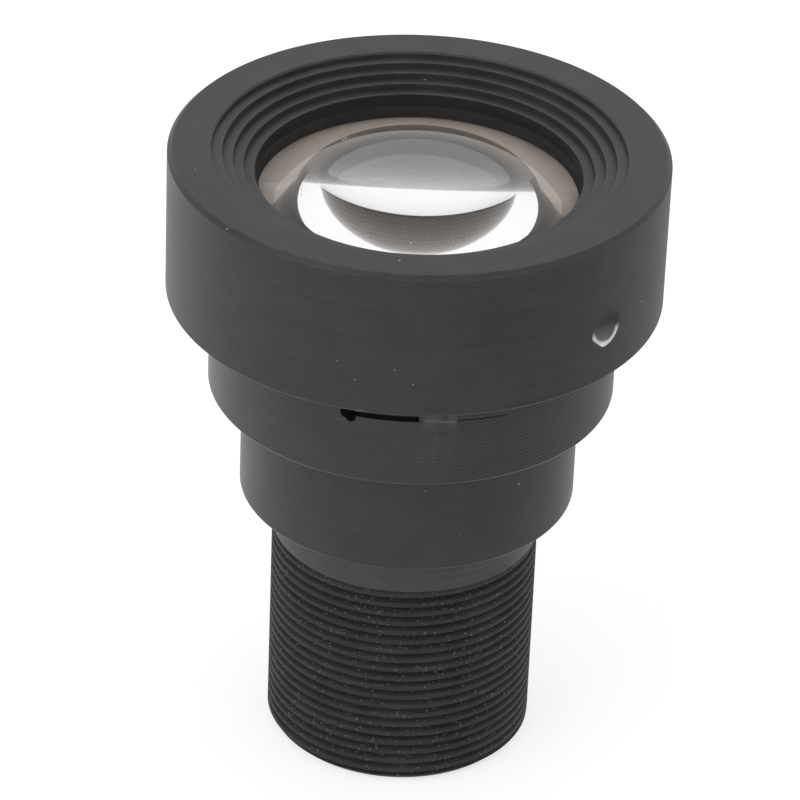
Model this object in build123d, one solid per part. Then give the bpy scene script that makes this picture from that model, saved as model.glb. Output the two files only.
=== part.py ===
from build123d import *
import math
import os

# A small board camera lens with a stem for an M12 x 0.5 holder, standing on its threaded end.
# Millimetres, +Z from the threaded end to the front glass, origin at the centre of the rear face.
# Azimuths are degrees from -Y, the side that faces the viewer, towards +X.

# Outside of the turned barrel, from the threaded end upwards
stem_radius = 6.0
thread_length = 10.35
collar_length = 2.135
rear_ring_radius = 7.5
rear_ring_length = 5.38
middle_ring_length = 4.65
barrel_front_wall = 1.68
stem_end_chamfer = 0.35
ring_edge_chamfer = 0.1

# Outside of the head, a cap that screws down over the barrel's front
head_wall = 1.91
head_height = 6.83
head_top_chamfer = 0.2
head_bottom_chamfer = 0.1

# Stepped recess in the front face, then the lip that holds the front element down
face_inner_chamfer = 0.08
step_count = 4
step_width = 0.4725
step_depth = 0.275
lip_bore_depth = 0.63
lip_cone_depth = 0.48
lip_cone_inset = 0.13

# Fits
slip = 0.02
cement_gap = 0.01
barrel_end_clearance = 0.24

# Front group: radii of curvature are positive where the centre lies below the surface
front_element_rim = 0.3
front_element_top_curve = 13.66
front_element_bottom_curve = -35.6
front_element_edge = 1.248
front_element_bottom_land = 2.45
front_element_land_rise = 0.34

second_element_air = 0.05
second_element_top_curve = 42.0
second_element_bottom_curve = -48.0
second_element_edge = 1.667
second_element_top_rim = 0.75
second_element_bottom_rim = 0.9

crown_air = 0.3
crown_top_curve = 9.5
crown_edge = 0.71
crown_rim_width = 0.6
doublet_joint_curve = -18.0
flint_thickness = 1.1
flint_bottom_curve = 7.0
flint_rim_width = 1.1

front_spacer_relief = 0.2
second_spacer_width = 0.85
stop_spacer_height = 0.6
stop_spacer_width = 0.9
stop_thickness = 0.2
stop_opening_radius = 2.4
stop_land = 0.1

# Steps by which each seat in the barrel is wider than the one below it
doublet_step = 0.5
second_element_step = 0.7
front_element_step = 1.6

# Baffle tube behind the stop, with grooves that trap stray light
tube_outer_radius = 4.5
tube_wall = 0.7
tube_groove_depth = 0.25
tube_groove_pitch = 1.1
tube_groove_width = 0.5
web_height = 0.6
web_lip = 0.3

# Rear group, held up against the web by a slotted ring
stem_wall = 1.08
ring_recess = 0.8
retainer_height = 1.5
retainer_width = 1.1
retainer_cone_inset = 0.6
retainer_slot_width = 0.8
retainer_slot_depth = 0.6
retainer_slot_count = 2

rear_flint_bottom_curve = -30.0
rear_flint_rim_width = 0.6
rear_flint_thickness = 0.9
rear_joint_curve = -16.0
rear_crown_edge = 0.46
rear_crown_top_curve = 10.0
rear_crown_rim_width = 0.6
negative_air = 0.36
negative_bottom_curve = 14.0
negative_rim_width = 1.0
negative_thickness = 0.9
negative_top_curve = -9.0
rear_spacer_width = 0.55

# Radial screw that locks the head, under a drop of clear sealant
screw_azimuth = 48.0
screw_drop = 4.24
screw_radius = 0.78
screw_hole_chamfer = 0.12
screw_length = 1.2
screw_socket_across = 0.7
screw_socket_depth = 0.5
sealant_height = 0.6
sealant_meniscus = 0.15

# Run-out of the barrel's front thread, where its last groove shows below the head
runout_drop = 1.08
runout_start = -18.9
groove_width = 0.46
groove_depth = 0.34
groove_end = 2.5
ledge_width = 0.3
ledge_depth = 0.1
ledge_end = 13.0
hairline_width = 0.12
hairline_depth = 0.075
hairline_end = 27.0
notch_azimuth = -16.4
notch_radius = 0.19
notch_depth = 0.4
notch_drop = 0.12

# Radii that follow from the sizes above, from the tube outwards
doublet_radius = tube_outer_radius + doublet_step
second_element_radius = doublet_radius + second_element_step
front_element_radius = second_element_radius + front_element_step
glass_visible_radius = front_element_radius - front_element_rim
lip_bore_radius = glass_visible_radius + lip_cone_inset
face_inner_radius = lip_bore_radius + step_count * step_width + face_inner_chamfer
middle_ring_radius = front_element_radius + slip + barrel_front_wall
head_radius = middle_ring_radius + slip + head_wall
web_inner_radius = tube_outer_radius - tube_wall - web_lip
rear_bore_radius = stem_radius - stem_wall
rear_glass_radius = rear_bore_radius - slip
retainer_inner_radius = rear_glass_radius - retainer_width

# Clear radii of the polished surfaces
front_element_bottom_clear = front_element_radius - front_element_bottom_land
second_element_top_clear = second_element_radius - second_element_top_rim
second_element_bottom_clear = second_element_radius - second_element_bottom_rim
crown_top_clear = doublet_radius - crown_rim_width
flint_bottom_clear = doublet_radius - flint_rim_width
rear_flint_bottom_clear = rear_glass_radius - rear_flint_rim_width
rear_crown_top_clear = rear_glass_radius - rear_crown_rim_width
negative_clear = rear_glass_radius - negative_rim_width

# Heights that follow from the sizes above
collar_base = thread_length
rear_ring_base = collar_base + collar_length
middle_ring_base = rear_ring_base + rear_ring_length
head_base = middle_ring_base + middle_ring_length
head_top = head_base + head_height
lip_bore_top = head_top - step_count * step_depth
lip_base = lip_bore_top - lip_bore_depth - lip_cone_depth
barrel_top = lip_base - barrel_end_clearance


def sagitta(curve, distance):
    """Depth of a sphere of the signed radius curve, at a distance from its axis."""
    size = abs(curve)
    return math.copysign(size - math.sqrt(size * size - distance * distance), curve)


def outline(points):
    """Closed straight-sided outline of (radius, height) points."""
    return Polyline(*points, close=True)


def turned(edges):
    """Solid turned about +Z from edges drawn as radius across and height up."""
    return revolve(Plane.XZ * make_face(edges), Axis.Z)


def optical_edge(vertex, curve, clear):
    """Arc of a polished surface from the axis out to its clear radius."""
    middle = clear / 2
    return ThreePointArc(
        (0, vertex),
        (middle, vertex - sagitta(curve, middle)),
        (clear, vertex - sagitta(curve, clear)),
    )


def element(top, bottom, outer_radius, land_rise=0):
    """Glass element from its two polished surfaces, each a (vertex, curve, clear radius).

    The land round the lower surface climbs by land_rise on its way out.
    """
    upper = optical_edge(*top)
    lower = optical_edge(*bottom)
    upper_rim = (outer_radius, top[0] - sagitta(top[1], top[2]))
    lower_rim = (outer_radius, bottom[0] - sagitta(bottom[1], bottom[2]) + land_rise)
    edges = [upper, lower, Line((0, bottom[0]), (0, top[0])), Line(upper_rim, lower_rim)]
    if outer_radius > top[2]:
        edges.append(Line(upper @ 1, upper_rim))
    if outer_radius > bottom[2]:
        edges.append(Line(lower @ 1, lower_rim))
    return turned(edges)


def tube(outer_radius, inner_radius, low, high):
    """Plain ring between two heights."""
    return turned(outline([
        (inner_radius, low), (outer_radius, low), (outer_radius, high), (inner_radius, high),
    ]))


def around(azimuth, height):
    """Plane at a height on the axis, whose normal looks outwards along the azimuth."""
    angle = math.radians(azimuth)
    return Plane(origin=(0, 0, height), x_dir=(0, 0, 1), z_dir=(math.sin(angle), -math.cos(angle), 0))


def radial_cylinder(azimuth, height, radius, start, length):
    """Cylinder that points outwards along an azimuth, from a start distance."""
    place = around(azimuth, height).offset(start)
    return place * Cylinder(radius, length, align=(Align.CENTER, Align.CENTER, Align.MIN))


# Front stack, worked out from the lip down: each surface as vertex height, curve and clear radius
front_top_vertex = lip_base + sagitta(front_element_top_curve, glass_visible_radius)
front_seat = lip_base - front_element_edge
front_bottom_vertex = front_seat + sagitta(front_element_bottom_curve, front_element_bottom_clear)
front_top = (front_top_vertex, front_element_top_curve, glass_visible_radius)
front_bottom = (front_bottom_vertex, front_element_bottom_curve, front_element_bottom_clear)

second_top_vertex = front_bottom_vertex - second_element_air
second_top = (second_top_vertex, second_element_top_curve, second_element_top_clear)
second_rim = second_top_vertex - sagitta(second_element_top_curve, second_element_top_clear)
second_seat = second_rim - second_element_edge
second_bottom_vertex = second_seat + sagitta(second_element_bottom_curve, second_element_bottom_clear)
second_bottom = (second_bottom_vertex, second_element_bottom_curve, second_element_bottom_clear)

crown_top_vertex = second_bottom_vertex - crown_air
crown_rim = crown_top_vertex - sagitta(crown_top_curve, crown_top_clear)
joint_vertex = crown_rim - crown_edge + sagitta(doublet_joint_curve, doublet_radius)
flint_bottom_vertex = joint_vertex - flint_thickness
doublet_seat = flint_bottom_vertex - sagitta(flint_bottom_curve, flint_bottom_clear)
stop_top = doublet_seat - stop_spacer_height
front_shoulder = stop_top - stop_thickness

# Rear stack, worked out from the threaded end up
rear_seat = ring_recess + retainer_height
rear_flint_vertex = rear_seat + sagitta(rear_flint_bottom_curve, rear_flint_bottom_clear)
rear_joint_vertex = rear_flint_vertex + rear_flint_thickness
rear_crown_rim = rear_joint_vertex - sagitta(rear_joint_curve, rear_glass_radius) + rear_crown_edge
rear_crown_vertex = rear_crown_rim + sagitta(rear_crown_top_curve, rear_crown_top_clear)
negative_bottom_vertex = rear_crown_vertex + negative_air
negative_seat = negative_bottom_vertex - sagitta(negative_bottom_curve, negative_clear)
negative_top_vertex = negative_bottom_vertex + negative_thickness
rear_shoulder = negative_top_vertex - sagitta(negative_top_curve, negative_clear)
web_top = rear_shoulder + web_height


def head_ring():
    """Cap with a stepped recess, a retaining lip and a bore that runs over the barrel's front."""
    bore = middle_ring_radius + slip
    recess = [(face_inner_radius, head_top)]
    radius = face_inner_radius - face_inner_chamfer
    height = head_top - face_inner_chamfer
    recess.append((radius, height))
    for step in range(step_count):
        height = head_top - (step + 1) * step_depth
        recess.append((radius, height))
        radius -= step_width
        recess.append((radius, height))
    profile = [
        (bore + head_bottom_chamfer, head_base),
        (head_radius - head_bottom_chamfer, head_base),
        (head_radius, head_base + head_bottom_chamfer),
        (head_radius, head_top - head_top_chamfer),
        (head_radius - head_top_chamfer, head_top),
        *recess,
        (lip_bore_radius, lip_bore_top - lip_bore_depth),
        (glass_visible_radius, lip_base),
        (bore, lip_base),
        (bore, head_base + head_bottom_chamfer),
    ]
    body = turned(outline(profile))
    height = head_top - screw_drop
    hole = radial_cylinder(screw_azimuth, height, screw_radius, middle_ring_radius, head_radius)
    sink_place = around(screw_azimuth, height).offset(head_radius - screw_hole_chamfer)
    sink = sink_place * Cone(
        screw_radius, screw_radius + 2 * screw_hole_chamfer, 2 * screw_hole_chamfer,
        align=(Align.CENTER, Align.CENTER, Align.MIN),
    )
    return body - hole - sink


def runout_stretch(start, end, width, depth):
    """Stretch of the last thread groove between two azimuths, square in section."""
    crest = middle_ring_radius + slip
    root = middle_ring_radius - depth
    top = head_base - runout_drop
    section = outline([(root, top - width), (crest, top - width), (crest, top), (root, top)])
    wedge = revolve(Plane.XZ * make_face(section), Axis.Z, revolution_arc=end - start)
    return Rot(0, 0, start - 90) * wedge


def barrel():
    """Turned body: threaded stem, collar, two rings, and the front that the head screws over."""
    cavity = [
        (front_element_radius + slip, barrel_top),
        (front_element_radius + slip, second_rim),
        (second_element_radius + slip, second_rim),
        (second_element_radius + slip, crown_rim),
        (doublet_radius + slip, crown_rim),
        (doublet_radius + slip, front_shoulder),
        (tube_outer_radius + slip, front_shoulder),
        (tube_outer_radius + slip, web_top),
        (web_inner_radius, web_top),
        (web_inner_radius, rear_shoulder),
        (rear_bore_radius, rear_shoulder),
        (rear_bore_radius, 0),
    ]
    skin = [
        (stem_radius - stem_end_chamfer, 0),
        (stem_radius, stem_end_chamfer),
        (stem_radius, rear_ring_base),
        (rear_ring_radius - ring_edge_chamfer, rear_ring_base),
        (rear_ring_radius, rear_ring_base + ring_edge_chamfer),
        (rear_ring_radius, middle_ring_base),
        (middle_ring_radius - ring_edge_chamfer, middle_ring_base),
        (middle_ring_radius, middle_ring_base + ring_edge_chamfer),
        (middle_ring_radius, barrel_top - ring_edge_chamfer),
        (middle_ring_radius - ring_edge_chamfer, barrel_top),
    ]
    body = turned(outline(cavity + skin))
    for start, end, width, depth in (
        (runout_start, groove_end, groove_width, groove_depth),
        (groove_end, ledge_end, ledge_width, ledge_depth),
        (ledge_end, hairline_end, hairline_width, hairline_depth),
    ):
        body -= runout_stretch(start, end, width, depth)
    notch_height = head_base - runout_drop - groove_width - notch_drop
    notch_start = middle_ring_radius - notch_depth
    return body - radial_cylinder(notch_azimuth, notch_height, notch_radius, notch_start, 2 * notch_depth)


def front_spacer():
    """Ring between the first two elements, whose top fits the land and whose bore opens downwards."""
    slope = front_element_land_rise / front_element_bottom_land
    top_inner = front_element_bottom_clear + slip
    return turned(outline([
        (second_element_top_clear + front_spacer_relief, second_rim),
        (front_element_radius, second_rim),
        (front_element_radius, front_seat + front_element_land_rise),
        (top_inner, front_seat + slip * slope),
    ]))


def second_spacer():
    """Thin ring between the second element and the cemented pair."""
    inner = second_element_radius - second_spacer_width
    return tube(second_element_radius, inner, crown_rim, second_seat)


def stop_spacer():
    """Ring that keeps the stop clear of the hollow rear surface of the cemented pair."""
    return tube(doublet_radius, doublet_radius - stop_spacer_width, stop_top, doublet_seat)


def aperture_stop():
    """Thin disc whose opening narrows to a sharp land at mid thickness."""
    flare = (stop_thickness - stop_land) / 2
    return turned(outline([
        (doublet_radius, front_shoulder),
        (doublet_radius, stop_top),
        (stop_opening_radius + flare, stop_top),
        (stop_opening_radius, stop_top - flare),
        (stop_opening_radius, front_shoulder + flare),
        (stop_opening_radius + flare, front_shoulder),
    ]))


def baffle_tube():
    """Grooved tube between the stop and the rear group."""
    inner = tube_outer_radius - tube_wall
    body = tube(tube_outer_radius, inner, web_top, front_shoulder)
    length = front_shoulder - web_top
    count = int((length - tube_groove_width) // tube_groove_pitch)
    first = web_top + (length - (count - 1) * tube_groove_pitch) / 2
    for turn in range(count):
        middle = first + turn * tube_groove_pitch
        body -= turned(outline([
            (inner - slip, middle - tube_groove_width / 2),
            (inner - slip, middle + tube_groove_width / 2),
            (inner + tube_groove_depth, middle + tube_groove_width / 2),
        ]))
    return body


def rear_retaining_ring():
    """Ring with a conical mouth and spanner slots across its rear face."""
    low = ring_recess
    high = ring_recess + retainer_height
    body = turned(outline([
        (retainer_inner_radius + retainer_cone_inset, low),
        (rear_glass_radius, low),
        (rear_glass_radius, high),
        (retainer_inner_radius, high),
    ]))
    slot_place = Pos(0, 0, low)
    for turn in range(retainer_slot_count):
        slot = Box(
            2 * rear_bore_radius, retainer_slot_width, retainer_slot_depth,
            align=(Align.MIN, Align.CENTER, Align.MIN),
        )
        body -= Rot(0, 0, turn * 360 / retainer_slot_count) * slot_place * slot
    return body


def lock_screw():
    """Headless screw with a six-sided socket, its tip against the barrel."""
    place = around(screw_azimuth, head_top - screw_drop).offset(middle_ring_radius + slip)
    body = place * Cylinder(screw_radius - slip, screw_length, align=(Align.CENTER, Align.CENTER, Align.MIN))
    socket = extrude(
        RegularPolygon(screw_socket_across / 2, 6, major_radius=False), screw_socket_depth,
    )
    return body - place.offset(screw_length - screw_socket_depth) * socket


def lock_screw_sealant():
    """Drop of clear sealant on the screw, with a hollow surface drawn up at the wall."""
    radius = screw_radius - slip
    low_point = sealant_height - sealant_meniscus
    hollow_curve = -(radius**2 + sealant_meniscus**2) / (2 * sealant_meniscus)
    drop = turned([
        Line((0, 0), (radius, 0)),
        Line((radius, 0), (radius, sealant_height)),
        optical_edge(low_point, hollow_curve, radius),
        Line((0, low_point), (0, 0)),
    ])
    start = middle_ring_radius + slip + screw_length
    return around(screw_azimuth, head_top - screw_drop).offset(start) * drop


def rear_spacer():
    """Ring between the rear cemented pair and the hollow element above it."""
    return tube(rear_glass_radius, rear_glass_radius - rear_spacer_width, rear_crown_rim, negative_seat)


pieces = {
    "barrel": barrel(),
    "head_ring": head_ring(),
    "front_element": element(front_top, front_bottom, front_element_radius, front_element_land_rise),
    "front_spacer": front_spacer(),
    "second_element": element(second_top, second_bottom, second_element_radius),
    "second_spacer": second_spacer(),
    "doublet_crown": element(
        (crown_top_vertex, crown_top_curve, crown_top_clear),
        (joint_vertex, doublet_joint_curve, doublet_radius),
        doublet_radius,
    ),
    "doublet_flint": element(
        (joint_vertex - cement_gap, doublet_joint_curve, doublet_radius),
        (flint_bottom_vertex, flint_bottom_curve, flint_bottom_clear),
        doublet_radius,
    ),
    "stop_spacer": stop_spacer(),
    "aperture_stop": aperture_stop(),
    "baffle_tube": baffle_tube(),
    "rear_negative_element": element(
        (negative_top_vertex, negative_top_curve, negative_clear),
        (negative_bottom_vertex, negative_bottom_curve, negative_clear),
        rear_glass_radius,
    ),
    "rear_spacer": rear_spacer(),
    "rear_crown": element(
        (rear_crown_vertex, rear_crown_top_curve, rear_crown_top_clear),
        (rear_joint_vertex, rear_joint_curve, rear_glass_radius),
        rear_glass_radius,
    ),
    "rear_flint": element(
        (rear_joint_vertex - cement_gap, rear_joint_curve, rear_glass_radius),
        (rear_flint_vertex, rear_flint_bottom_curve, rear_flint_bottom_clear),
        rear_glass_radius,
    ),
    "rear_retaining_ring": rear_retaining_ring(),
    "lock_screw": lock_screw(),
    "lock_screw_sealant": lock_screw_sealant(),
}

os.makedirs("parts", exist_ok=True)
for name, solid in pieces.items():
    export_step(solid, f"parts/{name}.step")
    print(name, "volume", round(solid.volume, 3), "top", round(solid.bounding_box().max.Z, 3))
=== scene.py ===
# %% [markdown]
# ## A board camera lens, dressed around its fixed frame
# The frame holds the lens at its real size: a turned barrel with a threaded stem, a cap that screws
# over its front, and a stack of glass inside. It stands on its threaded end, and +Z points out of the
# front glass. Everything here is in metres in that frame, so each new skin goes where its node is.
# The finished lens has to stay inside it.

import bmesh
import bpy
import numpy as np
from mathutils import Matrix, Vector


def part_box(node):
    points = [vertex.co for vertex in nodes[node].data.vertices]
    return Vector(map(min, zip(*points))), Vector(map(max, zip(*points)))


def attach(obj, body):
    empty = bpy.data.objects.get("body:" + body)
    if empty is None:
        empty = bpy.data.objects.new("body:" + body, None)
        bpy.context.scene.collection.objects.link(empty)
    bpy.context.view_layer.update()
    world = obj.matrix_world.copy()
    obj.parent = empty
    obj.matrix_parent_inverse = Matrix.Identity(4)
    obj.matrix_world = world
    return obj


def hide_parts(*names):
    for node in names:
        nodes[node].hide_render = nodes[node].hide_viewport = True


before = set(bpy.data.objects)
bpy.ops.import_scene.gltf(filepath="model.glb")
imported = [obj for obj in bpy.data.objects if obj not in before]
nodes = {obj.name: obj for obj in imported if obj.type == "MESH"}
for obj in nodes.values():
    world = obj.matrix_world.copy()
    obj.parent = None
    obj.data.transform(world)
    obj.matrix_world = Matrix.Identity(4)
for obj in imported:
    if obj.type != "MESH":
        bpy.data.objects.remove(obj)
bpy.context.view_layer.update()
scene = bpy.context.scene
MM = 0.001

# %% [markdown]
# ## Sizes read back from the frame
# A turned piece is known by its radii and heights. The outer ones are read from the boxes of the
# nodes, so they are never written twice. Only the sizes that a box can't tell are given here in
# millimetres. Azimuths are degrees from -Y, which faces the viewer, towards +X.

# %% Read radii and heights


def box_mm(node):
    """Radius, lowest and highest point of a node that is round about the axis, in millimetres."""
    low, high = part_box(node)
    return high.x / MM, low.z / MM, high.z / MM


middle_radius, _, barrel_top = box_mm("barrel")
head_radius, head_base, head_top = box_mm("head_ring")
front_radius, front_bottom, front_top = box_mm("front_element")
_, spacer_low, spacer_high = box_mm("front_spacer")
second_radius, second_bottom, second_top = box_mm("second_element")
_, crown_rim, _ = box_mm("second_spacer")
doublet_radius, _, crown_top = box_mm("doublet_crown")
_, _, doublet_seat = box_mm("stop_spacer")
_, stop_low, _ = box_mm("aperture_stop")
tube_radius, web_top, _ = box_mm("baffle_tube")
rear_radius, _, _ = box_mm("rear_retaining_ring")
_, _, negative_seat = box_mm("rear_spacer")
print("middle ring radius", round(middle_radius, 3), "head radius", round(head_radius, 3))

# %% Sizes that the boxes can't tell, in millimetres
stem_radius = 6.0
thread_length = 10.35
rear_ring_radius = 7.5
rear_ring_base = 12.485
middle_ring_base = 17.865
slip = 0.02
rear_bore_radius = rear_radius + slip
web_radius = 3.5
web_low = 7.24

# %% [markdown]
# ## Grids, profiles and meshes
# Nearly every surface of a lens is turned on a lathe: a profile of radii and heights carried round
# the axis. So one helper softens the corners of a profile, one carries it round, and one makes a
# closed mesh from several grids whose borders coincide. Working with whole arrays keeps it fast and
# lets a thread or a groove be written as a formula.

# %% Helpers that turn profiles
# The most that an arc, and its guard point, may take of a side, and the half angle of a straight corner
arc_share, guard_share = 0.45, 0.49
straight_half_angle = 1.55


def softened(corners, bends=4, guard=0.03):
    """Profile through (radius, height, fillet) corners, and how much each point lies on an edge.

    Each filleted corner becomes an arc that touches both of its straight sides, with a guard point
    just outside each end of the arc, so that the flat sides beside it stay flat when shaded.
    """
    points = np.array([corner[:2] for corner in corners], float)
    fillets = np.array([corner[2] for corner in corners], float)
    shape, wear = [points[:1]], [np.zeros(1)]
    for here, corner in enumerate(points[1:-1], 1):
        before, after = points[here - 1] - corner, points[here + 1] - corner
        lengths = np.linalg.norm(before), np.linalg.norm(after)
        before, after = before / lengths[0], after / lengths[1]
        half = np.arccos(np.clip(before @ after, -1, 1)) / 2
        if fillets[here] == 0 or half > straight_half_angle:
            shape.append(corner[None])
            wear.append(np.zeros(1))
            continue
        reach = min(fillets[here] / np.tan(half), arc_share * min(lengths))
        radius = reach * np.tan(half)
        middle = before + after
        centre = corner + middle / np.linalg.norm(middle) * radius / np.sin(half)
        start = corner + before * reach - centre
        end = corner + after * reach - centre
        turn = np.linspace(0, 1, bends + 1)[:, None]
        sweep = np.arccos(np.clip(start @ end / radius**2, -1, 1))
        arc = (np.sin((1 - turn) * sweep) * start + np.sin(turn * sweep) * end) / np.sin(sweep)
        first = corner + before * min(reach + guard, guard_share * lengths[0])
        last = corner + after * min(reach + guard, guard_share * lengths[1])
        shape += [first[None], centre + arc, last[None]]
        wear += [np.zeros(1), np.ones(bends + 1), np.zeros(1)]
    return np.vstack(shape + [points[-1:]]), np.concatenate(wear + [np.zeros(1)])


def turned(radius, height, azimuths):
    """Carry radii and heights round the axis: x = r sin(a), y = -r cos(a), z = h, in millimetres."""
    radius, height, angle = np.broadcast_arrays(radius, height, np.radians(azimuths)[None, :])
    return np.stack([radius * np.sin(angle), -radius * np.cos(angle), height], axis=-1)


def lathe(profile, azimuths):
    """Carry a profile, given as rows of radius and height, round the axis."""
    return turned(profile[:, :1], profile[:, 1:], azimuths)


def full_turn(columns, extra=()):
    """Azimuths once round, both ends included, with extra ones where a shape needs them."""
    return np.unique([*np.linspace(-180, 180, columns + 1), *extra])


# %% Helpers that make meshes
# Points this near are one, and an edge this short is none
same_point, no_length = 0.0004 * MM, 0.0001 * MM


def grid_quads(rows, columns):
    """Quads of a grid with that many rows and columns of points."""
    start = (np.arange(rows - 1)[:, None] * columns + np.arange(columns - 1)).ravel()
    return np.stack([start, start + 1, start + columns + 1, start + columns], axis=1)


def placed(name, data):
    """New object that holds the data, in the scene."""
    made = bpy.data.objects.new(name, data)
    scene.collection.objects.link(made)
    return made


def surface(name, grids, sharp=35.0, wear=None):
    """Closed mesh from grids of points in millimetres whose borders coincide.

    Points that fall together are merged, which also closes poles, and normals are turned outwards.
    The wear shares become the edge attribute: edge wear, and on the head's lower edge a painted glint too.
    """
    points, quads, edges, first = [], [], [], 0
    for number, grid in enumerate(grids):
        rows, columns = grid.shape[:2]
        points.append(grid.reshape(-1, 3))
        quads.append(grid_quads(rows, columns) + first)
        share = (wear[number] if wear else 0) + np.zeros((rows, columns))
        edges.append(share.ravel())
        first += rows * columns
    mesh = bpy.data.meshes.new(name)
    mesh.from_pydata(np.vstack(points) * MM, [], np.vstack(quads))
    attribute = mesh.attributes.new("edge", "FLOAT", "POINT")
    attribute.data.foreach_set("value", np.concatenate(edges).astype(np.float32))
    work = bmesh.new()
    work.from_mesh(mesh)
    bmesh.ops.remove_doubles(work, verts=work.verts, dist=same_point)
    bmesh.ops.dissolve_degenerate(work, edges=work.edges, dist=no_length)
    bmesh.ops.recalc_face_normals(work, faces=work.faces)
    work.to_mesh(mesh)
    work.free()
    mesh.shade_smooth()
    mesh.set_sharp_from_angle(angle=np.radians(sharp))
    mesh.calc_loop_triangles()
    sides = np.zeros(len(mesh.loops), np.int32)
    mesh.loops.foreach_get("edge_index", sides)
    open_edges = np.count_nonzero(np.bincount(sides, minlength=len(mesh.edges)) != 2)
    print(name, "triangles", len(mesh.loop_triangles), "open edges", open_edges)
    return placed(name, mesh)


def seat(piece, slot, *replaced):
    """Tie a finished piece to the lens's one body and hide the nodes it stands for. The slot is not used."""
    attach(piece, "root")
    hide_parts(*replaced)


# %% [markdown]
# ## The shared effects
# Turned and anodised aluminium has fine rings from the tool, a satin grain from blasting, and a few
# specks of dust. Each is a group that several materials place with their own values. The rings follow
# height on a wall and radius on a flat face, so their coordinate is height plus a share of radius,
# which works on both. Inside the groups the coordinate is turned into millimetres first.

# %% Helpers for node groups


def group_of(name, inputs, outputs):
    """New shader node group: inputs are (name, default) and outputs are names of values.

    It comes with its input sockets, its output node and the place in millimetres.
    """
    group = bpy.data.node_groups.new(name, "ShaderNodeTree")
    group.interface.new_socket("Vector", in_out="INPUT", socket_type="NodeSocketVector")
    for label, value in inputs:
        socket = group.interface.new_socket(label, in_out="INPUT", socket_type="NodeSocketFloat")
        socket.default_value = value
    for label in outputs:
        group.interface.new_socket(label, in_out="OUTPUT", socket_type="NodeSocketFloat")
    source = group.nodes.new("NodeGroupInput").outputs
    return group, source, group.nodes.new("NodeGroupOutput"), in_mm(group, source["Vector"])


def put(tree, socket, value):
    """Link a socket if the value is one, or else set it. Colours have three shares and become opaque."""
    if isinstance(value, bpy.types.NodeSocket):
        tree.links.new(value, socket)
    else:
        socket.default_value = (*value, 1.0) if socket.type == "RGBA" else value


def fill(tree, made, **sockets):
    """Put values into the inputs of a node. Their names have _ for spaces."""
    for label, value in sockets.items():
        put(tree, made.inputs[label.replace("_", " ")], value)
    return made


def node(tree, kind, **sockets):
    """Outputs of a new shader node whose inputs are filled."""
    return fill(tree, tree.nodes.new("ShaderNode" + kind), **sockets).outputs


def maths(tree, operation, first, second=0.0, third=0.0):
    """Value of one arithmetic step."""
    made = tree.nodes.new("ShaderNodeMath")
    made.operation = operation
    for socket, value in zip(made.inputs, (first, second, third)):
        put(tree, socket, value)
    return made.outputs[0]


def times(tree, first, second):
    """Product of two values."""
    return maths(tree, "MULTIPLY", first, second)


def vector_maths(tree, operation, first, second=(0.0, 0.0, 0.0)):
    """Vector of one step, or its value for a length or a dot product."""
    made = tree.nodes.new("ShaderNodeVectorMath")
    made.operation = operation
    put(tree, made.inputs[0], first)
    put(tree, made.inputs[1], second)
    return made.outputs["Vector" if operation == "MULTIPLY" else "Value"]


def ramped(tree, value, low, high):
    """Value stretched so that low becomes 0 and high becomes 1, with soft ends."""
    made = tree.nodes.new("ShaderNodeMapRange")
    made.interpolation_type = "SMOOTHSTEP"
    for socket, put_in in zip(made.inputs, (value, low, high)):
        put(tree, socket, put_in)
    return made.outputs[0]


def falling(tree, value, low, high):
    """Value stretched so that low becomes 1 and high becomes 0, with soft ends."""
    return maths(tree, "SUBTRACT", 1.0, ramped(tree, value, low, high))


def in_mm(tree, vector):
    """Object coordinate in millimetres."""
    return vector_maths(tree, "MULTIPLY", vector, (1 / MM, 1 / MM, 1 / MM))


def from_axis(tree, place):
    """Distance from the lens's axis."""
    return vector_maths(tree, "LENGTH", vector_maths(tree, "MULTIPLY", place, (1.0, 1.0, 0.0)))


# %% Turning marks
radius_share, streak_stretch, ridge_share = 0.73, 0.12, 0.35
full_circle = 6.2832
group, source, result, place = group_of(
    "turning_marks", [("Lines", 5.0), ("Feed", 0.19)], ["Height", "Streak"],
)
split = node(group, "SeparateXYZ", Vector=place)
along = maths(group, "MULTIPLY_ADD", from_axis(group, place), radius_share, split["Z"])
line = times(group, along, source["Lines"])
around = node(
    group, "CombineXYZ", X=line,
    Y=times(group, split["X"], streak_stretch),
    Z=times(group, split["Y"], streak_stretch),
)
streak = node(group, "TexNoise", Vector=around[0], Scale=1.0, Detail=4.0, Roughness=0.65)[0]
turn = maths(group, "DIVIDE", times(group, along, full_circle), source["Feed"])
ridge = maths(group, "MULTIPLY_ADD", maths(group, "SINE", turn), 0.5, 0.5)
mixed = maths(group, "MULTIPLY_ADD", ridge, ridge_share, times(group, streak, 1 - ridge_share))
fill(group, result, Streak=streak, Height=mixed)
turning_marks = group

# %% Satin grain
group, source, result, place = group_of(
    "satin_grain", [("Size", 0.09), ("Patch", 1.6)], ["Height", "Patches"],
)
fine = maths(group, "DIVIDE", 1.0, source["Size"])
grain = node(group, "TexNoise", Vector=place, Scale=fine, Detail=3.0, Roughness=0.6)
wide = maths(group, "DIVIDE", 1.0, source["Patch"])
patches = node(group, "TexNoise", Vector=place, Scale=wide, Detail=4.0, Roughness=0.6)
fill(group, result, Height=grain[0], Patches=patches[0])
satin_grain = group

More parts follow.
